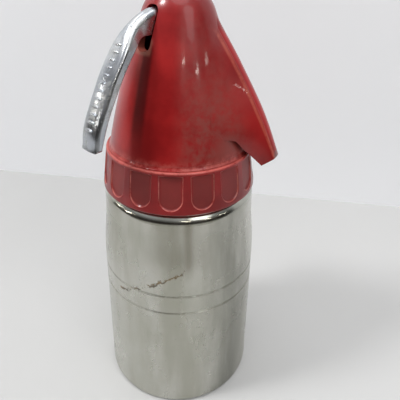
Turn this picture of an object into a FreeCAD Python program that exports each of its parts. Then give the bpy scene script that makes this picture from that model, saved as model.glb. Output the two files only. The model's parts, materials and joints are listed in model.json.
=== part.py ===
"""Soda siphon: pressed bottle, fluted screw collar, cast head with a spout fin, lever, valve and charger."""
import math
import os
import re

import FreeCAD
import Part
import Sketcher
from FreeCAD import Placement, Rotation, Vector

UP = Vector(0, 0, 1)

# Driving dimensions in millimetres and degrees. Heights are above the foot, radii from the upright axis.
sizes = {
    # Gaps between pieces
    "press_gap": "0.05",  # radial gap of parts soldered or screwed together
    "running_gap": "0.06",  # radial gap of a shaft in its bearing
    "turning_gap": "0.35",  # gap between turning or sliding pieces
    "face_gap": "0.1",  # gap between faces that only touch
    "tool_over": "1.0",  # how far a cutting tool runs past a face
    # Lower cup of the bottle
    "bottle_radius": "46.5",  # outer radius of the bottle
    "bottle_wall": "1.0",  # sheet thickness of the bottle
    "seam_height": "84.7",  # top edge of the lower cup
    "seam_chamfer": "0.2",  # broken edge at the seam
    "groove_drop": "12.0",  # fall from the seam to the rolled groove
    "groove_depth": "0.3",  # depth of the rolled groove
    "groove_height": "=seam_height - groove_drop",  # height of the rolled groove
    "foot_round": "2.5",  # rounding of the foot edge
    "foot_thick": "1.2",  # thickness of the foot
    # Dished pressure end inside the foot
    "dish_top": "16.0",  # height of the middle of the dish
    "dish_edge": "8.0",  # height of the rim of the dish
    "dish_low": "3.0",  # lower edge of the dish skirt
    "dish_radius": "=bottle_radius - bottle_wall - press_gap",  # outer radius of the dish
    "dish_rise": "=dish_top - dish_edge",  # rise of the dish
    # bend radius of the dish
    "dish_bend": "=((dish_radius - bottle_wall) ^ 2 + dish_rise ^ 2) / (2 * dish_rise)",
    # Upper shell of the bottle
    "shell_height": "51.3",  # height of the upper shell from the seam to the shoulder
    "shoulder_inset": "2.3",  # radius lost along the taper
    "shoulder_round": "6.0",  # outer rounding of the shoulder
    "taper_lift": "3.3",  # straight band above the seam
    "neck_radius": "33.5",  # outer radius of the neck
    "neck_height": "11.0",  # height of the neck above the shoulder
    "groove_clear": "0.4",  # gap between the rolled groove and the skirt inside the cup
    "shoulder_top": "=seam_height + shell_height",  # top of the flat part of the shoulder
    "shoulder_radius": "=bottle_radius - shoulder_inset",  # outer radius below the shoulder
    "neck_top": "=shoulder_top + neck_height",  # top edge of the neck
    "taper_low": "=seam_height + taper_lift",  # height where the taper starts
    "taper_top": "=shoulder_top - shoulder_round",  # height where the shoulder starts
    "taper_middle": "=(taper_low + taper_top) / 2",  # height where the taper turns from convex to concave
    "taper_radius": "=(bottle_radius + shoulder_radius) / 2",  # radius at the middle of the taper
    # bend radius of both halves of the taper
    "taper_bend": "=((taper_middle - taper_low) ^ 2 + (shoulder_inset / 2) ^ 2) / shoulder_inset",
    "overlap_low": "=groove_height + groove_clear",  # lower edge of the skirt inside the cup
    "overlap_radius": "=bottle_radius - bottle_wall - press_gap",  # outer radius of the skirt
    # Threaded ring round the neck, the gasket and the flange ring
    "ring_wall": "3.65",  # wall of the neck ring with its thread
    "ring_lift": "1.3",  # gap between the shoulder and the neck ring
    "ring_rise": "1.5",  # how far the neck ring stands above the neck
    "thread_start": "1.0",  # plain band below the first thread turn
    "thread_pitch": "3.0",  # lift of the collar in one turn
    "thread_depth": "0.6",  # depth of the thread turns
    "thread_turns": "3",  # turns of the thread
    "gasket_thick": "1.4",  # thickness of the head gasket
    "flange_clear": "0.9",  # gap round the flange ring
    "thread_radius": "=neck_radius + ring_wall",  # crest radius of the neck ring
    "neck_ring_low": "=shoulder_top + ring_lift",  # underside of the neck ring
    "ring_top": "=neck_top + ring_rise",  # top of the neck ring
    "gasket_low": "=ring_top + face_gap",  # underside of the head gasket
    "gasket_top": "=gasket_low + gasket_thick",  # top of the head gasket
    "gasket_inner": "=neck_radius - bottle_wall",  # inner radius of the head gasket
    "flange_radius": "=thread_radius + turning_gap - flange_clear",  # outer radius of the flange ring
    # Screw collar and its flutes
    "collar_lift": "0.4",  # gap between the shoulder and the collar
    "collar_height": "23.7",  # height of the collar
    "collar_wall": "7.0",  # wall of the collar at its widest
    "collar_taper": "2.5",  # radius lost from the widest part to the ledge
    "belly_lift": "1.6",  # height of the widest part above the collar's foot
    "ledge_drop": "1.4",  # height of the ledge on top of the collar
    "ledge_round": "1.0",  # rounding of the ledge
    "lip_thick": "5.1",  # thickness of the lip inside the collar
    "collar_chamfer": "0.8",  # broken lower edge of the collar
    "flute_count": "16",  # number of flutes round the collar
    "flute_first": "10",  # angle of one flute from the spout
    "flute_width": "13.2",  # width of a flute at the surface
    "flute_lift": "2.8",  # plain band below the flutes
    "flute_gap": "0.3",  # plain band between the flutes and the ledge
    "flute_depth": "1.15",  # depth of a flute at its middle
    "flute_slope": "0.7",  # narrowing of a flute from the surface to its floor
    "collar_low": "=shoulder_top + collar_lift",  # bottom face of the collar
    "collar_top": "=collar_low + collar_height",  # top face of the collar
    "collar_bore": "=thread_radius + turning_gap",  # bore of the collar round the neck ring
    "collar_belly": "=collar_bore + collar_wall",  # widest radius of the collar
    "collar_belly_height": "=collar_low + belly_lift",  # height of the widest part
    "collar_brow": "=collar_belly - collar_taper",  # radius at the top of the flutes
    "collar_brow_height": "=collar_top - ledge_drop",  # height of the brow under the rounded ledge
    "lip_low": "=collar_top - lip_thick",  # underside of the lip inside the collar
    "flute_low": "=collar_low + flute_lift",  # lowest point of a flute
    "flute_top": "=collar_brow_height - flute_gap",  # square top of a flute
    # Head casting: skirt, flare, cone, dome and hollows
    "skirt_gap": "0.3",  # gap between the neck's line and the head skirt
    "skirt_wall": "3.7",  # wall of the head skirt
    "head_wall": "3.0",  # wall of the head casting
    "cone_inset": "4.9",  # radius of the flare less the cone's gauge radius
    "cone_lift": "26.7",  # gauge height of the cone above the head's bottom face
    "cone_slope": "0.2828",  # radius lost per unit of height, along the chord of the cone's side
    "cone_bend": "485",  # radius of the slight swell of the cone's side
    "flare_inset": "1.7",  # how far the flare stays inside the collar's ledge
    "flare_edge": "0.35",  # straight edge of the flare
    "flare_round": "2.4",  # hollow rounding above the flare
    "flare_height": "2.6",  # height of the flare above the collar
    "dome_lift": "77.6",  # height of the dome's centre above the head's bottom face
    "dome_shoulder": "7.0",  # height of the dome's lower edge above its centre
    "web_lift": "33.9",  # underside of the web above the head's bottom face
    "web_thick": "5.0",  # thickness of the web
    "valve_radius": "10.0",  # outer radius of the valve body
    "boss_wall": "3.0",  # wall of the boss round the valve body
    "boss_height": "8.0",  # height of the boss under the web
    "chamber_lift": "2.9",  # height above the collar where the gas chamber starts to widen
    "chamber_step": "4.5",  # height over which the gas chamber widens
    "head_low": "=gasket_top + face_gap",  # bottom face of the head skirt
    "skirt_radius": "=neck_radius - skirt_gap",  # outer radius of the head skirt
    "skirt_bore": "=skirt_radius - skirt_wall",  # inner radius of the head skirt
    "lip_bore": "=skirt_radius + turning_gap",  # bore of the lip round the head skirt
    "flare_low": "=collar_top + face_gap",  # underside of the flare above the collar
    "flare_top": "=collar_top + flare_height",  # height where the cone starts
    "flare_radius": "=collar_brow - flare_inset",  # outer radius of the flare
    "cone_radius": "=flare_radius - cone_inset",  # outer radius of the cone at its gauge height
    "cone_gauge": "=head_low + cone_lift",  # gauge height of the cone
    "dome_centre": "=head_low + dome_lift",  # height of the centre of the dome
    "dome_low": "=dome_centre + dome_shoulder",  # height where the cone meets the dome
    # radius where the cone meets the dome
    "dome_low_radius": "=cone_radius - cone_slope * (dome_low - cone_gauge)",
    "dome_radius": "=sqrt(dome_low_radius ^ 2 + dome_shoulder ^ 2)",  # radius of the dome
    "chamber_dome": "=dome_radius - head_wall",  # radius of the lever chamber's dome
    "chamber_dome_low": "=sqrt(chamber_dome ^ 2 - dome_shoulder ^ 2)",  # radius where that dome starts
    "web_low": "=head_low + web_lift",  # underside of the web
    "web_top": "=web_low + web_thick",  # top of the web
    "boss_radius": "=valve_radius + boss_wall",  # radius of the boss under the web
    "boss_low": "=web_low - boss_height",  # bottom face of the boss
    "chamber_step_low": "=collar_top + chamber_lift",  # height where the gas chamber starts to widen
    "chamber_step_top": "=chamber_step_low + chamber_step",  # height where the gas chamber is widest
    # Spout fin with the duct and the spout bore in it
    "fin_corner": "2.0",  # rounding of the fin's edges
    "fin_half_width": "5.75",  # half width of the fin's edge
    "fin_crown": "1.5",  # how far the fin's edge stands out at its middle
    "fin_turn": "0.62",  # share of the corner's sweep where its arc is pinned
    "fin_face": "0.25",  # share of the corner's sweep where the crown starts
    "fin_flare_top": "21.4",  # height above the head's bottom face where the flare is full
    "fin_tip_flare": "0.35",  # share of that flare left at the spout's end
    "fin_heel_reach": "13.8",  # inner corner of the spout's end, past the cone's gauge radius
    "fin_heel_lift": "3.7",  # inner corner of the spout's end, above the head's bottom face
    "fin_toe_reach": "22.0",  # outer corner of the spout's end, past the cone's gauge radius
    "fin_toe_lift": "8.6",  # outer corner of the spout's end, above the head's bottom face
    "spout_bore": "3.25",  # radius of the spout bore
    "spout_angle": "66.6",  # rise of the spout bore from level
    "spout_run_out": "12.0",  # length the bore tool runs past the opening
    "duct_radius": "3.0",  # radius of the duct
    "duct_wall": "1.9",  # wall of the rib round the duct
    "duct_past": "1.7",  # how far the duct runs past the spout bore's axis
    "rib_bite": "1.4",  # how far the rib starts inside the boss
    "rib_sink": "1.0",  # how far the rib stops inside the cone
    "fin_heel_out": "=cone_radius + fin_heel_reach",  # inner corner of the spout's end from the axis
    "fin_heel_up": "=head_low + fin_heel_lift",  # inner corner of the spout's end, height
    "fin_toe_out": "=cone_radius + fin_toe_reach",  # outer corner of the spout's end from the axis
    "fin_toe_up": "=head_low + fin_toe_lift",  # outer corner of the spout's end, height
    "duct_height": "=web_low - boss_height / 2",  # height of the duct
    "duct_rib_radius": "=duct_radius + duct_wall",  # radius of the rib round the duct
    "duct_rib_start": "=boss_radius - rib_bite",  # start of the rib from the axis
    "spout_out": "=(fin_heel_out + fin_toe_out) / 2",  # middle of the spout's opening from the axis
    "spout_up": "=(fin_heel_up + fin_toe_up) / 2",  # middle of the spout's opening, height
    "spout_length": "=(duct_height - spout_up) / sin(spout_angle)",  # length of the spout bore
    # end of the duct from the axis
    "duct_end": "=spout_out - (duct_height - spout_up) / tan(spout_angle) + duct_past",
    # Lever slot, pivot bosses, pivot pin and its screw
    "lever_angle": "-120",  # angle of the lever from the spout
    "slot_width": "9.0",  # width of the slot
    "slot_drop": "13.3",  # bottom of the slot below the pivot
    "slot_rise": "9.1",  # top of the slot above the pivot
    "slot_corner": "3.6",  # rounding of the slot's ends
    "slot_start": "7.0",  # inner end of the slot tool from the axis
    "slot_reach": "=cone_radius",  # length of the slot tool
    "pivot_back": "11.0",  # distance of the pivot behind the axis
    "pivot_lift": "1.3",  # height of the pivot above the dome's centre
    "pin_radius": "2.0",  # radius of the pivot pin
    "pin_wall": "2.5",  # wall of the pivot bosses round the pin
    "boss_proud": "0.2",  # how far the pivot bosses stand into the slot
    "screw_step": "0.6",  # radius of the retaining screw less the pin's
    "screw_length": "3.2",  # length of the retaining screw
    "screw_sink": "0.25",  # how far the retaining screw sits below the dome
    "screw_slot_width": "0.8",  # width of the screwdriver slot
    "screw_slot_depth": "1.0",  # depth of the screwdriver slot
    "pivot_height": "=dome_centre + pivot_lift",  # height of the pivot
    "slot_low": "=pivot_height - slot_drop",  # bottom of the slot
    "slot_top": "=pivot_height + slot_rise",  # top of the slot
    "pivot_boss_radius": "=pin_radius + pin_wall",  # radius of the pivot bosses
    "pivot_gap": "=slot_width / 2 - boss_proud",  # inner face of each pivot boss from the lever's plane
    # screwed end of the pin from the lever's plane
    "pin_far": "=sqrt(dome_radius ^ 2 - pivot_back ^ 2) - screw_length - screw_sink",
    "pin_near": "=pin_far - boss_proud",  # blind end of the pin from the lever's plane
    "screw_radius": "=pin_radius + screw_step",  # radius of the retaining screw
    # Valve body, packing and gland nut
    "valve_length": "26.0",  # length of the valve body below the boss
    "valve_flange_thick": "5.0",  # thickness of the valve body's flange
    "outlet_radius": "6.0",  # radius of the outlet chamber
    "outlet_drop": "1.0",  # floor of the outlet chamber below the boss
    "seat_radius": "3.5",  # radius of the seat bore
    "seat_depth": "3.0",  # thickness of the seat
    "valve_chamber_radius": "7.5",  # radius of the valve chamber
    "plunger_radius": "2.4",  # radius of the plunger
    "packing_radius": "6.0",  # radius of the packing pocket
    "packing_floor": "1.2",  # thickness of the web under the packing
    "packing_thick": "2.0",  # thickness of the packing
    "gland_across": "16.0",  # width of the gland nut across its flats
    "gland_height": "6.0",  # height of the gland nut above the web
    "valve_top": "=web_low - 2 * face_gap",  # top of the valve body
    "valve_low": "=boss_low - valve_length",  # bottom face of the valve body
    "valve_flange_radius": "=duct_rib_start - face_gap",  # radius of the valve body's flange
    "valve_flange_low": "=boss_low - valve_flange_thick",  # underside of the valve body's flange
    "outlet_low": "=boss_low - outlet_drop",  # floor of the outlet chamber
    "seat_low": "=outlet_low - seat_depth",  # face that the washer seals against
    "packing_low": "=web_low + packing_floor",  # floor of the packing pocket
    "gland_top": "=web_top + gland_height",  # top of the gland nut
    # Plunger, its washer and the washer's retainer
    "plunger_play": "0.3",  # gap between the lever and the plunger's cap
    "plunger_cap_radius": "4.0",  # radius of the plunger's cap
    "plunger_cap_round": "6.0",  # rounding of the plunger's cap
    "plunger_cap_height": "4.0",  # height of the plunger's cap
    "stud_radius": "1.5",  # radius of the stud below the plunger
    "stud_reach": "1.1",  # length of the stud below the retainer's disc
    "washer_inset": "0.9",  # radius of the retainer less the washer's
    "washer_thick": "2.25",  # thickness of the valve washer
    "retainer_play": "1.0",  # gap round the washer retainer
    "retainer_thick": "2.0",  # thickness of the retainer's disc
    "retainer_nose_radius": "3.5",  # radius of the nose inside the spring
    "nose_length": "4.2",  # length of the retainer's nose
    "lever_floor_drop": "5.0",  # underside of the lever's neck below the pivot
    "lever_floor": "=pivot_height - lever_floor_drop",  # underside of the neck
    "plunger_top": "=lever_floor - plunger_play",  # top of the plunger's cap
    "plunger_cap_low": "=plunger_top - plunger_cap_height",  # underside of the plunger's cap
    # height of the cap's dome
    "plunger_cap_dome": "=plunger_cap_round - sqrt(plunger_cap_round ^ 2 - plunger_cap_radius ^ 2)",
    "washer_top": "=seat_low - press_gap",  # top of the closed washer
    "retainer_radius": "=valve_chamber_radius - retainer_play",  # outer radius of the washer retainer
    "washer_radius": "=retainer_radius - washer_inset",  # outer radius of the valve washer
    "retainer_top": "=washer_top - washer_thick",  # top of the washer retainer
    "retainer_disc_low": "=retainer_top - retainer_thick",  # underside of the retainer's disc
    "retainer_low": "=retainer_disc_low - nose_length",  # bottom of the retainer's nose
    "stud_low": "=retainer_disc_low - stud_reach",  # bottom of the stud
    # Valve spring, dip tube, its nut and seal ring
    "wire_radius": "0.5",  # wire radius of the spring
    "coil_play": "1.2",  # gap between the spring and the retainer's nose
    "coil_turns": "5",  # turns of the spring
    "nut_reach": "6.5",  # how far the dip tube nut goes into the valve body
    "nut_height": "4.5",  # height of the dip tube nut below the valve body
    "nut_across": "18.0",  # width of the dip tube nut across its flats
    "tube_radius": "4.0",  # outer radius of the dip tube
    "tube_wall": "1.0",  # wall of the dip tube
    "tube_foot": "4.0",  # gap between the dip tube and the dished end
    "tube_stop": "1.5",  # thickness of the nut above the dip tube
    "seal_lift": "1.0",  # seal ring's place above the valve body's lower face
    "seal_thick": "1.8",  # thickness of the seal ring
    "seal_wall": "1.6",  # wall of the seal ring
    "nut_top": "=valve_low + nut_reach",  # top of the dip tube nut, where the spring stands
    "nut_low": "=valve_low - nut_height",  # underside of the dip tube nut
    "coil_radius": "=retainer_nose_radius + coil_play + wire_radius",  # mean radius of the spring
    "spring_length": "=retainer_disc_low - nut_top - 2 * wire_radius",  # height between the wire's centres
    "tube_low": "=dish_top + tube_foot",  # lower end of the dip tube
    "tube_top": "=nut_top - tube_stop",  # upper end of the dip tube
    "seal_low": "=valve_low + seal_lift",  # underside of the seal ring
    "seal_radius": "=tube_radius + seal_wall",  # outer radius of the seal ring
    # Lever
    "lever_half_width": "6.5",  # half width of the handle
    "hub_wall": "2.2",  # wall of the lever's hub round the pin
    "lever_floor_out": "-4.0",  # start of the level underside from the axis
    "neck_straight_inset": "10.9",  # end of the neck's straight part, inside the cone's gauge radius
    "neck_end_inset": "5.9",  # where the neck starts to widen, inside the cone's gauge radius
    "handle_past": "8.0",  # where the handle is fully wide, past the cone's gauge radius
    "tip_corner": "3.5",  # rounding of the tip's corners
    "tip_bevel": "0.8",  # how far the tip's rounding reaches below the back
    "back_round": "2.0",  # rounding of the handle's outer edges
    "neck_round": "3.0",  # rounding of the neck's upper edges
    "round_share": "0.5",  # share of the thickness that the rounding may take where it is thin
    "palm_round": "0.6",  # rounding of the lever's inner edges
    "lever_crown": "0.35",  # how far the middle of the back stands out
    "lever_hub_radius": "=pin_radius + hub_wall",  # radius of the hub
    "neck_half_width": "=pivot_gap - turning_gap",  # half width of the neck and hub
    "neck_straight_end": "=cone_radius - neck_straight_inset",  # end of the neck's straight part
    "neck_end": "=cone_radius - neck_end_inset",  # where the neck starts to widen
    "handle_start": "=cone_radius + handle_past",  # where the handle is fully wide
    # Charging nipple and its fittings
    "charger_angle": "120",  # angle of the charging nipple from the spout
    "charger_lift": "21.9",  # height of the charging nipple above the head's bottom face
    "charger_stand": "4.1",  # face of the charger boss outside the cone's gauge radius
    "charger_sink": "6.4",  # inner end of the charger boss inside the cone's gauge radius
    "charger_wall": "4.0",  # wall of the charger boss
    "charger_bore_gap": "2.0",  # gap between the valve boss and the charger bore's inner end
    "stem_radius": "5.0",  # radius of the nipple's stem
    "stem_length": "15.0",  # length of the nipple's stem inside the boss
    "sleeve_lift": "1.7",  # collar of the stem before the check sleeve
    "sleeve_length": "5.0",  # length of the check sleeve
    "sleeve_seat_depth": "1.0",  # depth of the seat under the check sleeve
    "nipple_gasket_thick": "1.0",  # thickness of the nipple's gasket
    "nipple_flange_step": "1.5",  # how far the nipple's flange stands out
    "nipple_flange_thick": "2.5",  # thickness of the nipple's flange
    "nipple_radius": "6.5",  # radius of the nipple's thread
    "nipple_length": "10.0",  # length of the nipple past its flange
    "nipple_bore": "4.0",  # bore for the gas bulb's neck
    "nipple_chamfer": "0.6",  # broken edge at the nipple's end
    "gas_passage": "1.2",  # radius of the gas passage
    "passage_floor": "1.0",  # end of the gas passage past the stem's collar
    "side_port": "0.7",  # radius of the gas ports under the sleeve
    "filter_sink": "0.5",  # inner face of the gas filter past the nipple's gasket
    "filter_thick": "2.0",  # thickness of the gas filter
    "needle_disc": "2.0",  # thickness of the piercing pin's disc
    "needle_radius": "1.2",  # radius of the piercing pin
    "needle_length": "4.5",  # length of the piercing pin
    "charger_height": "=head_low + charger_lift",  # height of the charging nipple
    "charger_face": "=cone_radius + charger_stand",  # face of the charger boss from the axis
    "charger_boss_start": "=cone_radius - charger_sink",  # inner end of the charger boss from the axis
    "charger_boss_radius": "=stem_radius + charger_wall",  # radius of the charger boss
    "charger_bore_start": "=boss_radius + charger_bore_gap",  # inner end of the charger bore from the axis
    "stem_start": "=charger_face - stem_length",  # inner end of the stem from the axis
    "sleeve_start": "=stem_start + sleeve_lift",  # inner end of the check sleeve from the axis
    "sleeve_seat_radius": "=stem_radius - sleeve_seat_depth",  # radius of the stem under the sleeve
    "sleeve_wall": "=sleeve_seat_depth - face_gap",  # wall of the check sleeve
    "nipple_flange_radius": "=nipple_radius + nipple_flange_step",  # radius of the nipple's flange
    "flange_face": "=charger_face + nipple_gasket_thick",  # underside of the nipple's flange
    "thread_face": "=flange_face + nipple_flange_thick",  # outer face of the nipple's flange
    "nipple_end": "=thread_face + nipple_length",  # outer end of the nipple
    "filter_start": "=flange_face + filter_sink",  # inner face of the gas filter
    "needle_start": "=filter_start + filter_thick + face_gap",  # inner face of the piercing pin's disc
    # Dust cap
    "cap_wall": "1.8",  # wall of the dust cap
    "cap_roof": "2.0",  # thickness of the dust cap's end
    "cap_inner": "=nipple_radius + turning_gap",  # inner radius of the dust cap
    "cap_start": "=thread_face + turning_gap",  # open end of the dust cap
    "cap_end": "=nipple_end + turning_gap + cap_roof",  # closed end of the dust cap
}

# Free edges, as (distance past the cone's gauge radius, height above the head's bottom face)
curves = {
    # outer edge of the fin, from the dome down past the spout's end
    "fin_edge": [(-18.5, 87.9), (-16.0, 82.9), (-12.7, 77.1), (-8.8, 70.7), (-4.4, 63.5), (2.0, 52.2),
                 (8.6, 40.1), (14.4, 28.1), (18.5, 17.9), (22.0, 8.6), (25.2, -1.1)],
    # arch under the fin, from the spout's end up to the cone
    "fin_arch": [(10.3, 7.6), (6.5, 12.3), (3.2, 16.6), (0.2, 20.8), (-3.5, 22.2), (-7.5, 22.8)],
    # back of the lever, from inside the slot down to the tip
    "lever_back": [(-23.4, 87.0), (-15.4, 86.5), (-10.9, 84.9), (-6.2, 82.4), (-1.8, 78.9), (2.5, 73.8),
                   (7.8, 65.9), (13.3, 56.8), (17.8, 47.8), (22.0, 38.9), (25.0, 29.5), (26.0, 23.1)],
    # palm side of the lever, each point opposite one of the back
    "lever_palm": [(-23.4, 73.9), (-15.4, 73.9), (-10.9, 73.85), (-7.8, 73.5), (-5.4, 72.1), (-2.5, 69.3),
                   (3.2, 62.5), (8.6, 53.6), (13.2, 45.1), (17.2, 36.7), (20.3, 28.3), (21.9, 23.2)],
}

os.makedirs("parts", exist_ok=True)
doc = FreeCAD.newDocument("soda_siphon")
sheet = doc.addObject("Spreadsheet::Sheet", "Sizes")
pieces = []
cells = dict(sizes)
for curve, points in curves.items():
    for number, (out, up) in enumerate(points, 1):
        cells["%s_out%d" % (curve, number)] = str(out)
        cells["%s_up%d" % (curve, number)] = str(up)
for row, alias in enumerate(cells, 1):
    sheet.set("A%d" % row, alias)
    sheet.setAlias("B%d" % row, alias)
for alias, text in cells.items():
    sheet.set(alias, text)
doc.recompute()


def named(text):
    """Turn plain names in a formula into references to the sheet."""
    return re.sub(r"[a-z][a-z_0-9]*", lambda m: ("Sizes." if m.group(0) in cells else "") + m.group(0), text)


def value(text):
    """Work a formula over sheet names out as a number."""
    answer = sheet.evalExpression(text)
    return float(getattr(answer, "Value", answer))


def bind(item, path, text):
    item.setExpression(path, named(text))


def curve_points(curve):
    """Read a free edge back as (distance from the axis, height) pairs."""
    out = value("cone_radius")
    up = value("head_low")
    numbers = range(1, len(curves[curve]) + 1)
    return [(out + value("%s_out%d" % (curve, i)), up + value("%s_up%d" % (curve, i))) for i in numbers]


def bent_side(first, last, radius, centre_left):
    """Arc between two sketch points, with its centre to the left or right of the way from first to last."""
    chord = last - first
    middle = (first + last) * 0.5
    left = Vector(-chord.y, chord.x, 0).normalize()
    reach = math.sqrt(max(radius ** 2 - (chord.Length / 2) ** 2, 0))
    centre = middle + left * (reach if centre_left else -reach)
    start, stop = (first, last) if centre_left else (last, first)
    start_angle = math.atan2(start.y - centre.y, start.x - centre.x)
    stop_angle = math.atan2(stop.y - centre.y, stop.x - centre.x)
    return Part.ArcOfCircle(Part.Circle(centre, UP, radius), start_angle, stop_angle)


def turned(label, corners):
    """Body turned about its own Z axis from (radius, height) corners.

    A corner may name a bend radius and a side for the centre, which rounds the side that follows it.
    """
    body = doc.addObject("PartDesign::Body", label)
    sketch = body.newObject("Sketcher::SketchObject", label + "_outline")
    plane = [item for item in body.Origin.OriginFeatures if item.Role == "XZ_Plane"][0]
    sketch.AttachmentSupport = [(plane, "")]
    sketch.MapMode = "FlatFace"
    points = [Vector(value(corner[0]), value(corner[1]), 0) for corner in corners]
    ends = []
    for index, corner in enumerate(corners):
        first = points[index]
        last = points[(index + 1) % len(points)]
        if len(corner) > 2:
            centre_left = corner[3] == "left"
            geometry = sketch.addGeometry(bent_side(first, last, value(corner[2]), centre_left), False)
            rule = sketch.addConstraint(Sketcher.Constraint("Radius", geometry, value(corner[2])))
            bind(sketch, "Constraints[%d]" % rule, corner[2])
            ends.append((geometry, 1, 2) if centre_left else (geometry, 2, 1))
        else:
            geometry = sketch.addGeometry(Part.LineSegment(first, last), False)
            ends.append((geometry, 1, 2))
    for index, corner in enumerate(corners):
        here, before = ends[index], ends[index - 1]
        sketch.addConstraint(Sketcher.Constraint("Coincident", before[0], before[2], here[0], here[1]))
        for kind, text, axis in (("DistanceX", corner[0], -2), ("DistanceY", corner[1], -1)):
            if text == "0":
                sketch.addConstraint(Sketcher.Constraint("PointOnObject", here[0], here[1], axis))
            else:
                rule = sketch.addConstraint(Sketcher.Constraint(kind, here[0], here[1], value(text)))
                bind(sketch, "Constraints[%d]" % rule, text)
    turn = body.newObject("PartDesign::Revolution", label + "_turn")
    turn.Profile = sketch
    turn.ReferenceAxis = (sketch, ["V_Axis"])
    turn.Angle = 360
    return body


def ring(label, inner, outer, low, high):
    """Plain turned ring."""
    return turned(label, [(inner, low), (outer, low), (outer, high), (inner, high)])


def rod(label, radius, length, start, direction):
    """Round bar from a start point along a direction."""
    bar = doc.addObject("Part::Cylinder", label)
    bind(bar, "Radius", radius)
    bind(bar, "Height", length)
    bar.Placement = Placement(start, Rotation(UP, direction))
    return bar


def hexagon(label, across_flats, low, high):
    """Upright hexagonal bar."""
    bar = doc.addObject("Part::Prism", label)
    bar.Polygon = 6
    bind(bar, "Circumradius", "(%s) / 2 / cos(30)" % across_flats)
    bind(bar, "Height", "(%s) - (%s)" % (high, low))
    bar.Placement.Base = Vector(0, 0, value(low))
    return bar


def shaped(label, shape):
    """Feature that holds a computed shape."""
    feature = doc.addObject("Part::Feature", label)
    feature.Shape = shape
    return feature


def fused(label, parts):
    union = doc.addObject("Part::MultiFuse", label)
    union.Shapes = parts
    return union


def common(label, parts):
    overlap = doc.addObject("Part::MultiCommon", label)
    overlap.Shapes = parts
    return overlap


def cut(label, base, tool):
    remainder = doc.addObject("Part::Cut", label)
    remainder.Base = base
    remainder.Tool = tool
    return remainder


def piece(node, item, placement=None):
    """Name a finished piece and set where it stands."""
    item.Label = node
    if placement is not None:
        item.Placement = placement
    pieces.append(item)
    return item


def along_x(edge):
    """Whether a straight edge runs along X."""
    first, last = [vertex.Point for vertex in edge.Vertexes]
    return math.isclose(first.y, last.y) and math.isclose(first.z, last.z)


def around(angle):
    """Level direction at an angle about the Z axis, from the spout."""
    return Vector(math.cos(math.radians(angle)), math.sin(math.radians(angle)), 0)


# ---- Lower cup of the bottle: flat foot with a rounded edge, rolled groove near the top
cup_outline = [
    ("0", "0"),
    ("bottle_radius - foot_round", "0", "foot_round", "left"),
    ("bottle_radius", "foot_round"),
    ("bottle_radius", "groove_height - groove_depth"),
    ("bottle_radius - groove_depth", "groove_height"),
    ("bottle_radius", "groove_height + groove_depth"),
    ("bottle_radius", "seam_height - seam_chamfer"),
    ("bottle_radius - seam_chamfer", "seam_height"),
    ("bottle_radius - bottle_wall", "seam_height"),
    ("bottle_radius - bottle_wall", "foot_round", "foot_round - foot_thick", "right"),
    ("bottle_radius - bottle_wall - foot_round + foot_thick", "foot_thick"),
    ("0", "foot_thick"),
]
piece("bottle_lower_cup", turned("lower_cup", cup_outline))

# ---- Dished pressure end soldered inside the foot of the cup
dish_outline = [
    ("0", "dish_top - bottle_wall", "dish_bend", "right"),
    ("dish_radius - bottle_wall", "dish_edge - bottle_wall"),
    ("dish_radius - bottle_wall", "dish_low"),
    ("dish_radius", "dish_low"),
    ("dish_radius", "dish_edge"),
    ("dish_radius - bottle_wall", "dish_edge", "dish_bend", "left"),
    ("0", "dish_top"),
]
piece("base_dome", turned("dish", dish_outline))

# ---- Upper shell of the bottle: skirt inside the cup, long taper, rounded shoulder and neck
shell_outline = [
    ("overlap_radius - bottle_wall", "overlap_low"),
    ("overlap_radius", "overlap_low"),
    ("overlap_radius", "seam_height + press_gap"),
    ("bottle_radius - seam_chamfer", "seam_height + press_gap"),
    ("bottle_radius", "seam_height + press_gap + seam_chamfer"),
    ("bottle_radius", "taper_low", "taper_bend", "left"),
    ("taper_radius", "taper_middle", "taper_bend", "right"),
    ("shoulder_radius", "taper_top", "shoulder_round", "left"),
    ("shoulder_radius - shoulder_round", "shoulder_top"),
    ("neck_radius", "shoulder_top"),
    ("neck_radius", "neck_top"),
    ("neck_radius - bottle_wall", "neck_top"),
    ("neck_radius - bottle_wall", "shoulder_top - bottle_wall"),
    ("shoulder_radius - shoulder_round", "shoulder_top - bottle_wall", "shoulder_round - bottle_wall",
     "right"),
    ("shoulder_radius - bottle_wall", "taper_top", "taper_bend + bottle_wall", "left"),
    ("taper_radius - bottle_wall", "taper_middle", "taper_bend - bottle_wall", "right"),
    ("bottle_radius - bottle_wall", "taper_low"),
    ("overlap_radius - bottle_wall", "seam_height"),
]
piece("bottle_upper_shell", turned("upper_shell", shell_outline))

# ---- Threaded ring soldered round the neck, with shallow thread turns
neck_ring_outline = [
    ("neck_radius + press_gap", "neck_ring_low"),
    ("thread_radius - thread_depth", "neck_ring_low"),
]
for turn_index in range(int(value("thread_turns"))):
    turn_low = "neck_ring_low + thread_start + %d * thread_pitch" % turn_index
    neck_ring_outline += [
        ("thread_radius - thread_depth", turn_low),
        ("thread_radius", turn_low + " + thread_depth"),
        ("thread_radius", turn_low + " + thread_pitch - 2 * thread_depth"),
        ("thread_radius - thread_depth", turn_low + " + thread_pitch - thread_depth"),
    ]
neck_ring_outline += [
    ("thread_radius - thread_depth", "ring_top"),
    ("neck_radius + press_gap", "ring_top"),
]
piece("neck_ring", turned("neck_thread", neck_ring_outline))

# ---- Rubber gasket and the screwed flange ring that the collar lip presses down
gasket_band = ("gasket_inner", "flange_radius", "gasket_low", "gasket_top")
piece("head_gasket", ring("gasket", *gasket_band))
flange_band = ("skirt_radius + press_gap", "flange_radius", "head_low", "lip_low - turning_gap")
piece("flange_ring", ring("flange", *flange_band))

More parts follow.
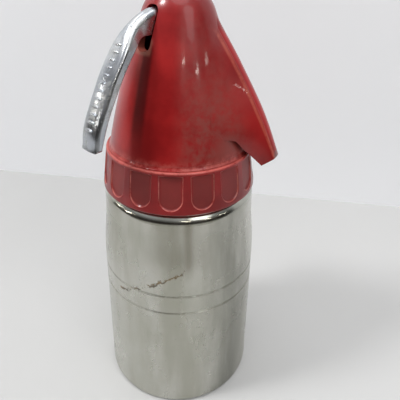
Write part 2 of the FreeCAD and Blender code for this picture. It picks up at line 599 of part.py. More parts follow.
# ---- Screw collar: turned blank with sixteen scooped flutes, each with a round bottom and a square top
collar_outline = [
    ("collar_bore", "collar_low"),
    ("collar_belly - collar_chamfer", "collar_low"),
    ("collar_belly", "collar_low + collar_chamfer"),
    ("collar_belly", "collar_belly_height"),
    ("collar_brow", "collar_brow_height"),
    ("collar_brow", "collar_top - ledge_round", "ledge_round", "left"),
    ("collar_brow - ledge_round", "collar_top"),
    ("lip_bore", "collar_top"),
    ("lip_bore", "lip_low"),
    ("collar_bore", "lip_low"),
]
collar_blank = turned("collar_blank", collar_outline)


def flute_wire(inset, depth):
    """Outline of one flute: straight top and sides and a round bottom, on the collar's slope."""
    half = value("flute_width") / 2 - inset
    low = value("flute_low") + inset
    top = value("flute_top") - inset
    rise = value("collar_brow_height") - value("collar_belly_height")
    lean = (value("collar_belly") - value("collar_brow")) / rise

    def spot(across, up):
        out = value("collar_belly") - lean * (up - value("collar_belly_height")) - depth
        return Vector(out, across, up)

    arc = Part.Arc(spot(-half, low + half), spot(0, low), spot(half, low + half)).toShape()
    right = Part.makeLine(spot(half, low + half), spot(half, top))
    across = Part.makeLine(spot(half, top), spot(-half, top))
    left = Part.makeLine(spot(-half, top), spot(-half, low + half))
    return Part.Wire([arc, right, across, left])


flute_steps = [(value("flute_slope"), value("flute_depth")), (0, value("flute_depth") - value("flute_slope"))]
flute_steps.append((-value("flute_slope") / 2, -value("flute_slope") * 2))
flute_tool = Part.makeLoft([flute_wire(*step) for step in flute_steps], True, True)
flute_turns = []
for flute_index in range(int(value("flute_count"))):
    flute_copy = flute_tool.copy()
    flute_angle = value("flute_first") + flute_index * 360 / value("flute_count")
    flute_copy.rotate(Vector(0, 0, 0), UP, flute_angle)
    flute_turns.append(flute_copy)
flutes = shaped("flutes", Part.makeCompound(flute_turns))
piece("fluted_collar", cut("collar", collar_blank, flutes))

# ---- Head: cone and dome, skirt below, spout fin, web that closes the bottle, and pivot and charger bosses


def cone_text(height):
    return "cone_radius - cone_slope * (%s - cone_gauge)" % height


def cone_reach(height):
    """Radius of the cone's slightly swelling side at a height."""
    first = Vector(value(cone_text("flare_top")), value("flare_top"), 0)
    last = Vector(value("dome_low_radius"), value("dome_low"), 0)
    centre = bent_side(first, last, value("cone_bend"), True).Center
    return centre.x + math.sqrt(value("cone_bend") ** 2 - (height - centre.y) ** 2)


head_outline = [
    ("0", "head_low"),
    ("skirt_radius", "head_low"),
    ("skirt_radius", "flare_low"),
    ("flare_radius", "flare_low"),
    ("flare_radius", "flare_low + flare_edge", "flare_round", "right"),
    (cone_text("flare_top"), "flare_top", "cone_bend", "left"),
    ("dome_low_radius", "dome_low", "dome_radius", "left"),
    ("0", "dome_centre + dome_radius"),
]
head_outer = turned("head_outer", head_outline)
gas_chamber = turned("gas_chamber", [
    ("0", "head_low - tool_over"),
    ("skirt_bore", "head_low - tool_over"),
    ("skirt_bore", "chamber_step_low"),
    (cone_text("chamber_step_top") + " - head_wall", "chamber_step_top"),
    (cone_text("web_low") + " - head_wall", "web_low"),
    ("boss_radius", "web_low"),
    ("boss_radius", "boss_low"),
    ("0", "boss_low"),
])
lever_chamber = turned("lever_chamber", [
    ("0", "web_top"),
    (cone_text("web_top") + " - head_wall", "web_top"),
    ("chamber_dome_low", "dome_low", "chamber_dome", "left"),
    ("0", "dome_centre + chamber_dome"),
])

# Spout fin: level sections, each a pair of sides that leave the cone and close on a narrow edge


def fin_section(edge, height):
    """Level section of the fin: its sides leave the cone at a tangent and close in at the spout's end."""
    corner = value("fin_corner")
    across = value("fin_half_width") - corner
    back = edge - value("fin_crown") - corner
    radius = min(cone_reach(height), back + corner)
    reach = math.hypot(back, across)
    run = math.sqrt(reach ** 2 - (radius - corner) ** 2)
    tangent = math.atan2(across, back) + math.atan2(run, radius - corner)
    climb = (height - value("fin_heel_up")) / (value("head_low + fin_flare_top") - value("fin_heel_up"))
    flare = value("fin_tip_flare") + (1 - value("fin_tip_flare")) * min(max(climb, 0), 1)
    lean = math.pi / 2 - (math.pi / 2 - tangent) * flare

    def corner_spot(share):
        turned_by = lean * share
        return Vector(back + corner * math.cos(turned_by), across + corner * math.sin(turned_by), height)

    side = corner_spot(1)
    turn = corner_spot(value("fin_turn"))
    face = corner_spot(value("fin_face"))
    root = side + Vector(-math.sin(lean), math.cos(lean), 0) * run
    front = Vector(edge, 0, height)

    def mirrored(spot):
        return Vector(spot.x, -spot.y, spot.z)

    edges = [
        Part.makeLine(root, side),
        Part.Arc(side, turn, face).toShape(),
        Part.Arc(face, front, mirrored(face)).toShape(),
        Part.Arc(mirrored(face), mirrored(turn), mirrored(side)).toShape(),
        Part.makeLine(mirrored(side), mirrored(root)),
        Part.makeLine(mirrored(root), root),
    ]
    return Part.Wire(edges)


def smooth(points):
    """Smooth edge through (out, up) points in an upright plane through the axis."""
    spline = Part.BSplineCurve()
    spline.interpolate([Vector(out, 0, up) for out, up in points])
    return spline.toShape()


fin_blank = Part.makeLoft([fin_section(out, up) for out, up in curve_points("fin_edge")], True, False)
arch_points = [(value("fin_heel_out"), value("fin_heel_up"))] + curve_points("fin_arch")
arch_start = Vector(arch_points[0][0], 0, arch_points[0][1])
arch_stop = Vector(arch_points[-1][0], 0, arch_points[-1][1])
toe = Vector(value("fin_toe_out"), 0, value("fin_toe_up"))
beyond_toe = toe + (toe - arch_start) * 2
below_toe = Vector(beyond_toe.x, 0, 0)
below_root = Vector(0, 0, 0)
above_root = Vector(0, 0, arch_stop.z)
under_edges = [smooth(arch_points)]
for first, last in ((arch_stop, above_root), (above_root, below_root), (below_root, below_toe),
                    (below_toe, beyond_toe), (beyond_toe, arch_start)):
    under_edges.append(Part.makeLine(first, last))
under_face = Part.Face(Part.Wire(Part.__sortEdges__(under_edges)))
under_tool = under_face.extrude(Vector(0, 2 * beyond_toe.x, 0))
under_tool.translate(Vector(0, -beyond_toe.x, 0))
fin = shaped("fin", fin_blank.cut(under_tool))

# Duct from the valve to the fin, and the slanted spout bore that opens at the fin's end
duct_start = Vector(0, 0, value("duct_height"))
duct_rib_place = Vector(value("duct_rib_start"), 0, value("duct_height"))
duct_rib_length = cone_text("duct_height") + " - duct_rib_start - rib_sink"
duct_rib = rod("duct_rib", "duct_rib_radius", duct_rib_length, duct_rib_place, around(0))
duct = rod("duct", "duct_radius", "duct_end", duct_start, around(0))
spout_lean = math.radians(value("spout_angle"))
spout_way = Vector(-math.cos(spout_lean), 0, math.sin(spout_lean))
spout_mouth = Vector(value("spout_out"), 0, value("spout_up")) - spout_way * value("spout_run_out")
spout_bore = rod("spout_bore_tool", "spout_bore", "spout_length + spout_run_out", spout_mouth, spout_way)

# Lever slot and pivot bosses, in the lever's own plane
lever_place = Placement(Vector(0, 0, 0), Rotation(UP, value("lever_angle")))
pivot = Vector(-value("pivot_back"), 0, value("pivot_height"))


def across(side, distance):
    """Point on the pivot line, in the lever's plane turned into place."""
    return lever_place.multVec(pivot + Vector(0, side * distance, 0))


side_way = lever_place.multVec(Vector(0, 1, 0))
slot_box = Part.makeBox(value("slot_reach"), value("slot_width"), value("slot_top") - value("slot_low"))
slot_box.translate(Vector(value("slot_start"), -value("slot_width") / 2, value("slot_low")))
slot_ends = [edge for edge in slot_box.Edges if along_x(edge)]
slot = shaped("slot", slot_box.makeFillet(value("slot_corner"), slot_ends))
slot.Placement = lever_place
near_face = across(1, value("pivot_gap"))
far_face = across(-1, value("pivot_gap"))
near_boss = rod("near_boss", "pivot_boss_radius", "dome_radius", near_face, side_way)
far_boss = rod("far_boss", "pivot_boss_radius", "dome_radius", far_face, side_way * -1)
pivot_bosses = common("pivot_bosses", [head_outer, fused("pivot_rods", [near_boss, far_boss])])
pin_stop = across(-1, value("pin_far"))
pin_bore = rod("pin_bore", "pin_radius + press_gap", "pin_near + pin_far", pin_stop, side_way)
screw_bore = rod("screw_bore", "screw_radius + press_gap", "dome_radius", pin_stop, side_way * -1)

# Charger boss on the far side
charger_way = around(value("charger_angle"))
charger_place = Placement(Vector(0, 0, value("charger_height")), Rotation(UP, charger_way))
charger_start = charger_place.multVec(Vector(0, 0, value("charger_boss_start")))
charger_boss_length = "charger_face - charger_boss_start"
charger_boss = rod("charger_boss", "charger_boss_radius", charger_boss_length, charger_start, charger_way)
bore_start = charger_place.multVec(Vector(0, 0, value("charger_bore_start")))
charger_bore = rod("charger_bore", "stem_radius + press_gap", "charger_face", bore_start, charger_way)

# Valve bore, plunger bore and packing pocket on the axis
axis_bore = turned("axis_bore", [
    ("0", "boss_low - tool_over"),
    ("valve_radius + press_gap", "boss_low - tool_over"),
    ("valve_radius + press_gap", "web_low"),
    ("plunger_radius + running_gap", "web_low"),
    ("plunger_radius + running_gap", "packing_low"),
    ("packing_radius", "packing_low"),
    ("packing_radius", "web_top + tool_over"),
    ("0", "web_top + tool_over"),
])
head_solid = fused("head_solid", [head_outer, fin, charger_boss])
head_hollows = fused("head_hollows", [gas_chamber, lever_chamber])
head_shell = cut("head_shell", head_solid, head_hollows)
head_ribbed = fused("head_ribbed", [head_shell, duct_rib, pivot_bosses, charger_boss])
head_bores = fused("head_bores", [axis_bore, duct, spout_bore, slot, pin_bore, screw_bore, charger_bore])
piece("head_casting", cut("head", head_ribbed, head_bores))

# ---- Valve body: screwed up into the boss, with a seat between an outlet chamber and a valve chamber
valve_blank = turned("valve_blank", [
    ("valve_chamber_radius", "valve_low"),
    ("valve_radius", "valve_low"),
    ("valve_radius", "valve_flange_low"),
    ("valve_flange_radius", "valve_flange_low"),
    ("valve_flange_radius", "boss_low - face_gap"),
    ("valve_radius", "boss_low - face_gap"),
    ("valve_radius", "valve_top"),
    ("outlet_radius", "valve_top"),
    ("outlet_radius", "outlet_low"),
    ("seat_radius", "outlet_low"),
    ("seat_radius", "seat_low"),
    ("valve_chamber_radius", "seat_low"),
])
valve_port = rod("valve_port", "duct_radius", "valve_radius * 2", duct_start, around(0))
piece("valve_body", cut("valve", valve_blank, valve_port))

# ---- Packing and the gland nut that squeezes it round the plunger
packing_band = ("plunger_radius + running_gap", "packing_radius - press_gap", "packing_low",
                "packing_low + packing_thick")
piece("plunger_packing", ring("packing", *packing_band))
gland_hex = hexagon("gland_hex", "gland_across", "web_top + face_gap", "gland_top")
spigot_low = Vector(0, 0, value("packing_low + packing_thick + face_gap"))
spigot_length = "gland_top - packing_low - packing_thick - face_gap"
gland_spigot = rod("gland_spigot", "packing_radius - press_gap", spigot_length, spigot_low, UP)
gland_bore_low = Vector(0, 0, value("valve_low"))
gland_bore = rod("gland_bore", "plunger_radius + running_gap", "gland_top", gland_bore_low, UP)
piece("gland_nut", cut("gland", fused("gland_solid", [gland_hex, gland_spigot]), gland_bore))

# ---- Plunger with a domed cap, its rubber washer and the retainer screwed on its stud
plunger_outline = [
    ("0", "stud_low"),
    ("stud_radius", "stud_low"),
    ("stud_radius", "washer_top"),
    ("plunger_radius", "washer_top"),
    ("plunger_radius", "plunger_cap_low"),
    ("plunger_cap_radius", "plunger_cap_low"),
    ("plunger_cap_radius", "plunger_top - plunger_cap_dome", "plunger_cap_round", "left"),
    ("0", "plunger_top"),
]
piece("plunger", turned("plunger_pin", plunger_outline))
washer_band = ("stud_radius", "washer_radius", "washer_top - washer_thick", "washer_top")
piece("valve_washer", ring("washer", *washer_band))
piece("washer_retainer", turned("retainer", [
    ("0", "retainer_low"),
    ("retainer_nose_radius", "retainer_low"),
    ("retainer_nose_radius", "retainer_disc_low"),
    ("retainer_radius", "retainer_disc_low"),
    ("retainer_radius", "retainer_top"),
    ("stud_radius + press_gap", "retainer_top"),
    ("stud_radius + press_gap", "stud_low - face_gap"),
    ("0", "stud_low - face_gap"),
]))

# ---- Valve spring between the dip tube nut and the retainer
spring_path = Part.Wire(Part.makeHelix(value("spring_length / coil_turns"), value("spring_length"),
                                       value("coil_radius")).Edges)
wire_centre = Vector(value("coil_radius"), 0, 0)
wire_section = Part.Wire(Part.makeCircle(value("wire_radius"), wire_centre, Vector(0, 1, 0)))
spring = shaped("spring", spring_path.makePipeShell([wire_section], True, True))
piece("valve_spring", spring, Placement(Vector(0, 0, value("nut_top + wire_radius")), Rotation()))

# ---- Dip tube with its nut and seal ring
nut_hex = hexagon("nut_hex", "nut_across", "nut_low", "valve_low - face_gap")
nut_start = Vector(0, 0, value("nut_low"))
nut_spigot = rod("nut_spigot", "valve_chamber_radius - press_gap", "nut_top - nut_low", nut_start, UP)
nut_hollow = turned("nut_hollow", [
    ("0", "nut_low - tool_over"),
    ("tube_radius + press_gap", "nut_low - tool_over"),
    ("tube_radius + press_gap", "seal_low"),
    ("seal_radius + press_gap", "seal_low"),
    ("seal_radius + press_gap", "seal_low + seal_thick"),
    ("tube_radius + press_gap", "seal_low + seal_thick"),
    ("tube_radius + press_gap", "tube_top"),
    ("tube_radius - tube_wall", "tube_top"),
    ("tube_radius - tube_wall", "nut_top + tool_over"),
    ("0", "nut_top + tool_over"),
])
piece("dip_tube_nut", cut("tube_nut", fused("tube_nut_solid", [nut_hex, nut_spigot]), nut_hollow))
seal_band = ("tube_radius + press_gap", "seal_radius", "seal_low", "seal_low + seal_thick")
piece("dip_tube_seal", ring("tube_seal", *seal_band))
tube_band = ("tube_radius - tube_wall", "tube_radius", "tube_low", "tube_top")
piece("dip_tube", ring("tube", *tube_band))

# ---- Lever: hub and neck inside the slot, elbow, then a broad handle that hangs to the collar


def lever_section(back, palm):
    """Cross section of the lever between a point of its back and the palm point opposite."""
    climb = (back[0] - value("neck_end")) / (value("handle_start") - value("neck_end"))
    climb = min(max(climb, 0), 1)
    widening = climb ** 2 * (3 - 2 * climb)
    half = value("neck_half_width") + (value("lever_half_width") - value("neck_half_width")) * widening
    low = Vector(palm[0], 0, palm[1])
    rise = Vector(back[0], 0, back[1]) - low
    thick = rise.Length
    rise.normalize()
    over = value("neck_round") + (value("back_round") - value("neck_round")) * widening
    over = min(over, thick * value("round_share"))
    under = value("palm_round")
    shoulder = thick - value("lever_crown")

    def spot(across, up):
        return low + rise * up + Vector(0, across, 0)

    def corner(side, radius, level, way):
        """Quarter round at one long edge, on the palm's side where way is -1."""
        bend = radius * math.sqrt(0.5)
        first = spot(side * half, level - way * radius)
        middle = spot(side * (half - radius + bend), level - way * (radius - bend))
        last = spot(side * (half - radius), level)
        return Part.Arc(first, middle, last).toShape()

    crown = Part.Arc(spot(over - half, shoulder), spot(0, thick), spot(half - over, shoulder)).toShape()
    edges = [
        Part.makeLine(spot(under - half, 0), spot(half - under, 0)),
        corner(1, under, 0, -1),
        Part.makeLine(spot(half, under), spot(half, shoulder - over)),
        corner(1, over, shoulder, 1),
        crown,
        corner(-1, over, shoulder, 1),
        Part.makeLine(spot(-half, shoulder - over), spot(-half, under)),
        corner(-1, under, 0, -1),
    ]
    return Part.Wire(Part.__sortEdges__(edges))


def lever_blank():
    """Neck and handle lofted through their cross sections, with the hub joined on and the tip rounded."""
    back = curve_points("lever_back")
    palm = curve_points("lever_palm")
    sections = [lever_section(*pair) for pair in zip(back, palm)]
    neck_sections = sum(1 for spot in back if spot[0] < value("neck_straight_end + face_gap"))
    inner = Part.makeLoft(sections[:neck_sections], True, True)
    outer = Part.makeLoft(sections[neck_sections - 1:], True, False)
    blank = inner.fuse(outer)
    tip_low = back[-1][1] - value("tip_bevel")
    tip_half = value("lever_half_width + lever_crown")
    tip_reach = back[-1][0] + tip_half
    tip = Part.makeBox(2 * tip_reach, 2 * tip_half, tip_low, Vector(-tip_reach, -tip_half, tip_low))
    tip_edges = [edge for edge in tip.Edges if along_x(edge) and edge.Vertexes[0].Z < back[-1][1]]
    blank = blank.common(tip.makeFillet(value("tip_corner"), tip_edges))
    neck = value("neck_half_width")
    hub_top = pivot + Vector(0, 0, value("lever_hub_radius"))
    hub_back = pivot - Vector(value("lever_hub_radius"), 0, 0)
    hub_low = pivot - Vector(0, 0, value("lever_hub_radius"))
    crest = Vector(back[1][0], 0, hub_top.z)
    floor_end = Vector(back[1][0], 0, value("lever_floor"))
    floor_start = Vector(value("lever_floor_out"), 0, value("lever_floor"))
    edges = [
        Part.Arc(hub_low, hub_back, hub_top).toShape(),
        Part.makeLine(hub_top, crest),
        Part.makeLine(crest, floor_end),
        Part.makeLine(floor_end, floor_start),
        Part.makeLine(floor_start, hub_low),
    ]
    hub = Part.Face(Part.Wire(Part.__sortEdges__(edges))).extrude(Vector(0, 2 * neck, 0))
    hub.translate(Vector(0, -neck, 0))
    return blank.fuse(hub).removeSplitter()


lever_solid = shaped("lever_solid", lever_blank())
lever_bore = doc.addObject("Part::Cylinder", "lever_bore")
bind(lever_bore, "Radius", "pin_radius + running_gap")
bind(lever_bore, "Height", "lever_half_width * 4")
lever_bore_start = pivot - Vector(0, 2 * value("lever_half_width"), 0)
lever_bore.Placement = Placement(lever_bore_start, Rotation(UP, Vector(0, 1, 0)))
piece("lever", cut("squeeze_lever", lever_solid, lever_bore), lever_place)

# ---- Pivot pin, pushed in from the far side, and the slotted screw behind it
pin_start = across(-1, value("pin_far - face_gap"))
piece("lever_pivot_pin", rod("pin", "pin_radius", "pin_near + pin_far - 2 * face_gap", pin_start, side_way))
screw_bar = rod("screw_bar", "screw_radius", "screw_length", pin_stop, side_way * -1)
screw_slot = doc.addObject("Part::Box", "screw_slot")
bind(screw_slot, "Length", "screw_slot_width")
bind(screw_slot, "Width", "screw_slot_depth * 2")
bind(screw_slot, "Height", "screw_radius * 4")
slot_corner = Vector(-value("screw_slot_width") / 2, 0, -value("screw_radius") * 2)
slot_shift = Vector(0, -value("pin_far + screw_length + screw_slot_depth"), 0)
screw_slot_place = lever_place.multVec(pivot + slot_shift + slot_corner)
screw_slot.Placement = Placement(screw_slot_place, lever_place.Rotation)
piece("pin_retaining_screw", cut("retaining_screw", screw_bar, screw_slot))

# ---- Charging nipple and its fittings, drawn along their own axis and turned to the far side
nipple_blank = turned("nipple_blank", [
    ("0", "stem_start"),
    ("stem_radius", "stem_start"),
    ("stem_radius", "sleeve_start"),
    ("sleeve_seat_radius", "sleeve_start"),
    ("sleeve_seat_radius", "sleeve_start + sleeve_length"),
    ("stem_radius", "sleeve_start + sleeve_length"),
    ("stem_radius", "flange_face"),
    ("nipple_flange_radius", "flange_face"),
    ("nipple_flange_radius", "thread_face"),
    ("nipple_radius", "thread_face"),
    ("nipple_radius", "nipple_end - nipple_chamfer"),
    ("nipple_radius - nipple_chamfer", "nipple_end"),
    ("nipple_bore", "nipple_end"),
    ("nipple_bore", "filter_start"),
    ("gas_passage", "filter_start"),
    ("gas_passage", "sleeve_start + passage_floor"),
    ("0", "sleeve_start + passage_floor"),
])
port_start = Vector(-value("stem_radius * 1.5"), 0, value("sleeve_start + sleeve_length / 2"))
gas_port = rod("gas_port", "side_port", "stem_radius * 3", port_start, around(0))
piece("charging_nipple", cut("nipple", nipple_blank, gas_port), charger_place)
nipple_gasket_band = ("stem_radius + press_gap", "nipple_flange_radius", "charger_face", "flange_face")
piece("nipple_gasket", ring("charger_gasket", *nipple_gasket_band), charger_place)
filter_band = ("nipple_bore - press_gap", "filter_start", "filter_start + filter_thick")
piece("gas_filter", turned("filter_disc", [
    ("0", filter_band[1]),
    (filter_band[0], filter_band[1]),
    (filter_band[0], filter_band[2]),
    ("0", filter_band[2]),
]), charger_place)
piece("piercing_pin", turned("needle", [
    ("0", "needle_start"),
    ("nipple_bore - press_gap", "needle_start"),
    ("nipple_bore - press_gap", "needle_start + needle_disc"),
    ("needle_radius", "needle_start + needle_disc"),
    ("needle_radius", "needle_start + needle_disc + needle_length - 2 * needle_radius"),
    ("0", "needle_start + needle_disc + needle_length"),
]), charger_place)
sleeve_band = ("sleeve_seat_radius + press_gap", "sleeve_seat_radius + sleeve_wall",
               "sleeve_start + face_gap", "sleeve_start + sleeve_length - face_gap")
piece("check_sleeve", ring("sleeve", *sleeve_band), charger_place)

# ---- Push-on dust cap over the nipple
piece("dust_cap", turned("cap", [
    ("cap_inner", "cap_start"),
    ("cap_inner + cap_wall", "cap_start"),
    ("cap_inner + cap_wall", "cap_end - cap_wall", "cap_wall", "left"),
    ("cap_inner", "cap_end"),
    ("0", "cap_end"),
    ("0", "cap_end - cap_roof"),
    ("cap_inner", "cap_end - cap_roof"),
]), charger_place)

doc.recompute()
faults = []
for item in doc.Objects:
    if "Invalid" in item.State or "Error" in item.State:
        faults.append("%s is %s" % (item.Label, item.State))
for item in pieces:
    if item.Shape.isNull() or not item.Shape.isValid():
        faults.append("%s has no valid shape" % item.Label)
if faults:
    raise RuntimeError("; ".join(faults))
for item in pieces:
    item.Shape.exportStep("parts/%s.step" % item.Label)
    print(item.Label, len(item.Shape.Solids), round(item.Shape.Volume, 1))
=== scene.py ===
import json
import math

import bmesh
import bpy
from mathutils import Euler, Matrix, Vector
from mathutils.bvhtree import BVHTree


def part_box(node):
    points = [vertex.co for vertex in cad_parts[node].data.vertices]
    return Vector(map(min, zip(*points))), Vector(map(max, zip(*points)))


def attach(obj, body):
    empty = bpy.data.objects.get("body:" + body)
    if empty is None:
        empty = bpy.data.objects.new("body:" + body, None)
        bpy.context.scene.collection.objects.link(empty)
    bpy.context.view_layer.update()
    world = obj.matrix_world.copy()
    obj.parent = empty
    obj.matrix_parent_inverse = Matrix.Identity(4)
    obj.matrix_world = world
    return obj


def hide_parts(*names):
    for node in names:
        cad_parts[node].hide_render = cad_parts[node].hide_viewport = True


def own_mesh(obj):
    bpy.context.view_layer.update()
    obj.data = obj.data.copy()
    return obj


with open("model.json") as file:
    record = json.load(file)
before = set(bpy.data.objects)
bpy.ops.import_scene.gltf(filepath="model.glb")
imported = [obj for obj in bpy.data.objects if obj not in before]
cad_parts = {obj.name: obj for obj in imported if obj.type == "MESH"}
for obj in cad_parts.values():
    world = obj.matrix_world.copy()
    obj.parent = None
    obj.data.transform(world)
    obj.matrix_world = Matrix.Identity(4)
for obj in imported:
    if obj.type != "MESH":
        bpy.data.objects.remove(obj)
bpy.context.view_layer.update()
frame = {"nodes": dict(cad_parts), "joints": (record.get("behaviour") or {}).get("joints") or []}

scene = bpy.context.scene

# ---- Camera: stands a little to the spout's side of the lever and looks down at the siphon.
# Its lens is slid down against the film, which keeps the siphon's sides nearly upright.
camera_place = Vector((0.0661, -0.2320, 0.2651))
camera_pitch = 24.07
camera_heading = 13.0
camera_roll = 1.06
film_width = 36.0
lens_length = 40.5
lens_slide = -0.1373
nearest_seen = 0.01
camera_data = bpy.data.cameras.new("camera")
camera_data.sensor_width = film_width
camera_data.lens = lens_length
camera_data.shift_y = lens_slide
camera_data.clip_start = nearest_seen
camera = bpy.data.objects.new("camera", camera_data)
heading = Euler((0, 0, math.radians(camera_heading))).to_matrix()
pitch = Euler((math.radians(90 - camera_pitch), 0, 0)).to_matrix()
roll = Euler((0, 0, math.radians(camera_roll))).to_matrix()
camera.matrix_world = (heading @ pitch @ roll).to_4x4()
camera.location = camera_place
scene.collection.objects.link(camera)
scene.camera = camera
scene.view_settings.view_transform = "Standard"


# ---- Room: white painted table top and a pale wall behind it, both matt and faintly uneven.
# The wall stands slightly across the view, and a darker room lies behind the camera.
def socket_value(tree, socket, given):
    """Sets a socket, or links another node's output to it."""
    if isinstance(given, bpy.types.NodeSocket):
        tree.links.new(given, socket)
    else:
        socket.default_value = given


def tree_node(tree, kind, inputs=None, **settings):
    """Adds a node with its own settings and its inputs by name or number."""
    made = tree.nodes.new(kind)
    for name, choice in settings.items():
        setattr(made, name, choice)
    for name, given in (inputs or {}).items():
        socket_value(tree, made.inputs[name], given)
    return made


def node(tree, kind, inputs=None, **settings):
    """Adds a shader node."""
    return tree_node(tree, "ShaderNode" + kind, inputs, **settings)


def maths(tree, operation, first, second=0.0, third=0.0):
    """Adds a Math node and returns its output."""
    return node(tree, "Math", {0: first, 1: second, 2: third}, operation=operation).outputs[0]


def material_of(name, **values):
    """New material with a principled shader, whose plain values are given by socket name."""
    material = bpy.data.materials.new(name)
    material.use_nodes = True
    tree = material.node_tree
    shader = tree.nodes["Principled BSDF"]
    for socket, given in values.items():
        shader.inputs[socket.replace("_", " ")].default_value = given
    return material, tree, shader


def noise(tree, place, scale, detail=4.0, roughness=0.55):
    """Cloudy pattern about 0.5, finer with a larger scale."""
    made = node(tree, "TexNoise", {"Vector": place, "Scale": scale, "Detail": detail,
                                   "Roughness": roughness})
    return made.outputs["Fac"]


def ramp(tree, given, empty, full):
    """Mask that is 0 where the value is at empty or beyond, 1 at full or beyond, and smooth between."""
    made = node(tree, "MapRange", {"Value": given, "From Min": empty, "From Max": full},
                interpolation_type="SMOOTHSTEP")
    return made.outputs["Result"]


def mixed(tree, factor, first, second):
    """Colour mix."""
    made = node(tree, "Mix", data_type="RGBA")
    socket_value(tree, made.inputs[0], factor)
    socket_value(tree, made.inputs[6], first)
    socket_value(tree, made.inputs[7], second)
    return made.outputs[2]


def shade(red, green, blue):
    """Colour written as it looks on a screen, from 0 to 255, turned by the sRGB curve into the linear
    colour that shaders use."""
    def linear(part):
        part /= 255
        return part / 12.92 if part <= 0.04045 else ((part + 0.055) / 1.055) ** 2.4
    return (linear(red), linear(green), linear(blue), 1.0)


def object_place(tree):
    """Place on a piece, in metres."""
    return node(tree, "TexCoord").outputs["Object"]


def split(tree, place):
    """The X, Y and Z parts of a place."""
    return node(tree, "SeparateXYZ", {0: place}).outputs


def painted_board(name, corners, colour, uneven, lift_left, lift_right):
    """Flat four-cornered backdrop with matt, faintly uneven paint, clear from behind. It is seen and
    mirrored a little paler than it is, more so to the right, and this lift gives the siphon no light."""
    mesh = bpy.data.meshes.new(name)
    mesh.from_pydata(corners, [], [(0, 1, 2, 3)])
    board = bpy.data.objects.new(name, mesh)
    scene.collection.objects.link(board)
    material, tree, shader = material_of(name + "_paint", Roughness=0.75,
                                         Emission_Color=(1.0, 1.0, 1.0, 1.0))
    cloud = noise(tree, object_place(tree), scale=1.8, detail=3.0)
    paler = tuple(min(1.0, part * (1 + uneven)) for part in colour[:3]) + (1.0,)
    darker = tuple(part * (1 - uneven) for part in colour[:3]) + (1.0,)
    tree.links.new(mixed(tree, cloud, darker, paler), shader.inputs["Base Color"])
    across = split(tree, object_place(tree))["X"]
    lift = node(tree, "MapRange", {"Value": across, "From Min": lift_from, "From Max": lift_to,
                                   "To Min": lift_left, "To Max": lift_right}).outputs["Result"]
    way = node(tree, "LightPath")
    seen = maths(tree, "MAXIMUM", way.outputs["Is Camera Ray"], way.outputs["Is Glossy Ray"])
    tree.links.new(maths(tree, "MULTIPLY", lift, seen), shader.inputs["Emission Strength"])
    behind = node(tree, "NewGeometry").outputs["Backfacing"]
    tree.links.new(maths(tree, "SUBTRACT", 1.0, behind), shader.inputs["Alpha"])
    mesh.materials.append(material)


wall_left = Vector((-0.293, 0.203, 0))
wall_right = Vector((0.188, 0.241, 0))
wall_way = (wall_right - wall_left).normalized()
wall_reach = 3.0
wall_tall = 2.2
wall_from = wall_left - wall_way * wall_reach
wall_to = wall_right + wall_way * wall_reach
wall_rise = Vector((0, 0, wall_tall))
table_front = 0.21
table_edge = 0.5
lift_from = -0.2
lift_to = 0.15
edge_way = heading @ Vector((1, 0, 0))
edge_middle = heading @ Vector((0, -table_front, 0))
edge_from = edge_middle - edge_way * wall_reach
edge_to = edge_middle + edge_way * table_edge
table_corners = [edge_from, edge_to, wall_to, wall_from]
wall_corners = [wall_from, wall_to, wall_to + wall_rise, wall_from + wall_rise]
painted_board("table", table_corners, shade(191, 191, 190), uneven=0.015, lift_left=0.0, lift_right=0.09)
painted_board("wall", wall_corners, shade(240, 241, 244), uneven=0.012, lift_left=0.05, lift_right=0.09)

# ---- Lights: a main lamp, a wide soft ceiling light, two fills, and a row of small far lamps
# whose mirror images are the little sparks on the enamel and on the bottle's shoulder.
room_dark = shade(58, 54, 50)
ceiling_pale = shade(226, 228, 232)
floor_pale = shade(238, 236, 230)
room_strength = 0.6
lamp_aim = Vector((0, 0, 0.15))
room_light = bpy.data.worlds.new("room")
scene.world = room_light
room_light.use_nodes = True
room_tree = room_light.node_tree
room_back = room_tree.nodes["Background"]
room_back.inputs["Strength"].default_value = room_strength
upward = split(room_tree, node(room_tree, "TexCoord").outputs["Generated"])["Z"]
room_colour = mixed(room_tree, ramp(room_tree, upward, empty=0.12, full=0.8), room_dark, ceiling_pale)
room_colour = mixed(room_tree, ramp(room_tree, upward, empty=-0.12, full=-0.3), room_colour, floor_pale)
room_tree.links.new(room_colour, room_back.inputs["Color"])


def soft_lamp(name, azimuth, elevation, distance, width, power, colour=(1.0, 1.0, 1.0), tall=None):
    """Round area lamp, or an oblong one of a given height, that faces the middle of the siphon."""
    data = bpy.data.lights.new(name, "AREA")
    data.shape = "DISK" if tall is None else "RECTANGLE"
    data.size = width
    data.size_y = tall or width
    data.energy = power
    data.color = colour
    lamp = bpy.data.objects.new(name, data)
    turn, lift = math.radians(azimuth), math.radians(elevation)
    away = Vector((math.cos(turn) * math.cos(lift), math.sin(turn) * math.cos(lift), math.sin(lift)))
    lamp.location = lamp_aim + away * distance
    lamp.rotation_euler = away.to_track_quat("Z", "Y").to_euler()
    scene.collection.objects.link(lamp)


